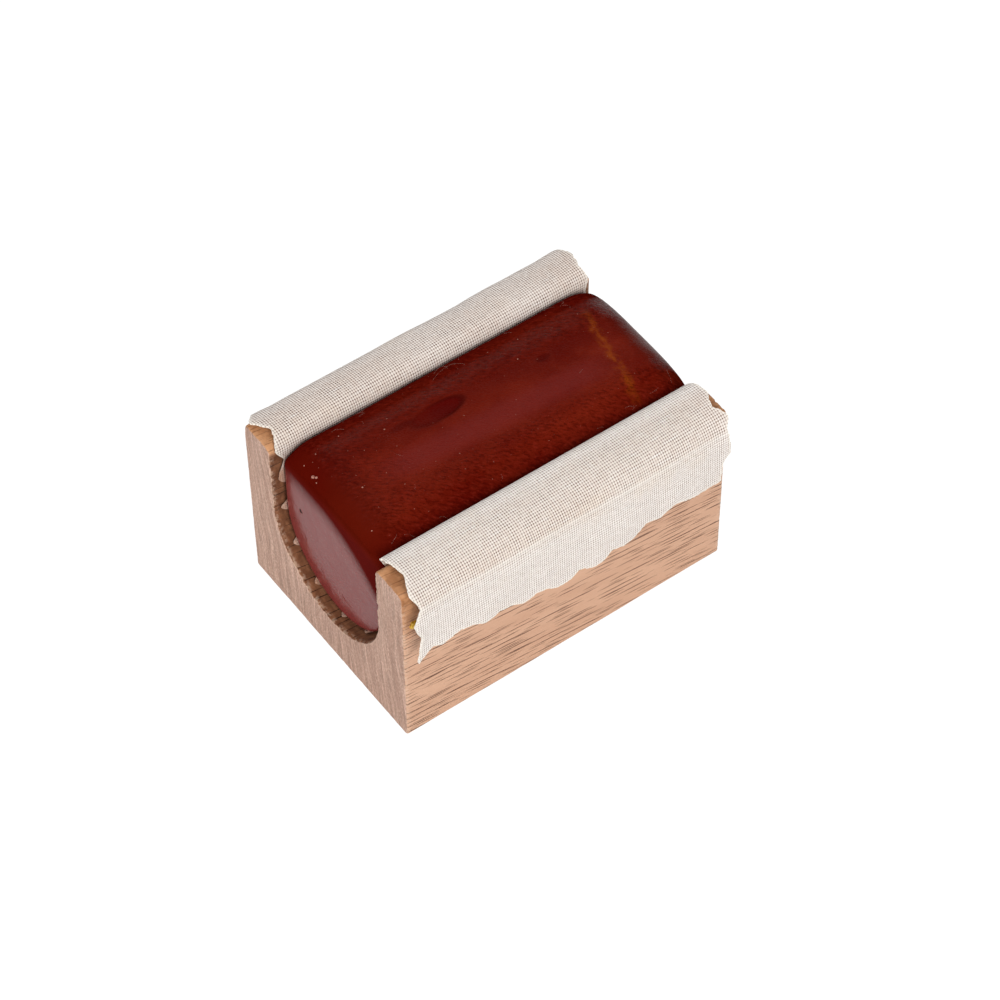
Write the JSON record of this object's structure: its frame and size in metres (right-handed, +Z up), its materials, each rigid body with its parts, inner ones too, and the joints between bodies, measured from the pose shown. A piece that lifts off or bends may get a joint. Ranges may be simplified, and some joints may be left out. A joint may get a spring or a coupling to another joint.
{
  "type": "rosin cake",
  "caption": "Bar of dark rosin bedded in a cloth-lined U-shaped wooden block, with two pinked cloth flaps that fold over it.",
  "frame": {"origin": "centre of the block's flat underside", "axes": "+X along the block and its trough, +Z up, so the two long walls stand at -Y (right) and +Y (left)"},
  "size_m": [0.06, 0.0471, 0.0366],
  "materials": {
    "beech": "bare sanded beech, pale pinkish beige with short dark pore dashes along the grain",
    "rosin": "cast rosin, deep red-brown, glossy and slightly translucent",
    "calico": "undyed plain-weave cotton, off-white, matt, with pinked edges",
    "glue": "dried amber glue, slightly glossy"
  },
  "bodies": {
    "holder": {"holder_block": "beech", "rosin_cake": "rosin", "cloth_liner": "calico", "glue_film": "glue", "glue_bead": "glue"},
    "right_top": {"right_flap_top": "calico"},
    "right_hang": {"right_flap_hang": "calico"},
    "left_top": {"left_flap_top": "calico"},
    "left_hang": {"left_flap_hang": "calico"}
  },
  "joints": [
    {"name": "right_flap_fold", "type": "hinge", "parent": "holder", "child": "right_top", "pos_m": [0, -0.01443, 0.03666], "axis": [-1, 0, 0], "range_deg": [0, 176]},
    {"name": "right_flap_crease", "type": "hinge", "parent": "right_top", "child": "right_hang", "pos_m": [0, -0.0227, 0.03452], "axis": [-1, 0, 0], "range_deg": [0, 88]},
    {"name": "left_flap_fold", "type": "hinge", "parent": "holder", "child": "left_top", "pos_m": [0, 0.01411, 0.03548], "axis": [1, 0, 0], "range_deg": [0, 165]},
    {"name": "left_flap_crease", "type": "hinge", "parent": "left_top", "child": "left_hang", "pos_m": [0, 0.02108, 0.0343], "axis": [1, 0, 0], "range_deg": [0, 102]}
  ],
  "couplings": [
    {"joint": "right_flap_crease", "follows": "right_flap_fold", "ratio": 0.5},
    {"joint": "left_flap_crease", "follows": "left_flap_fold", "ratio": 0.618}
  ]
}
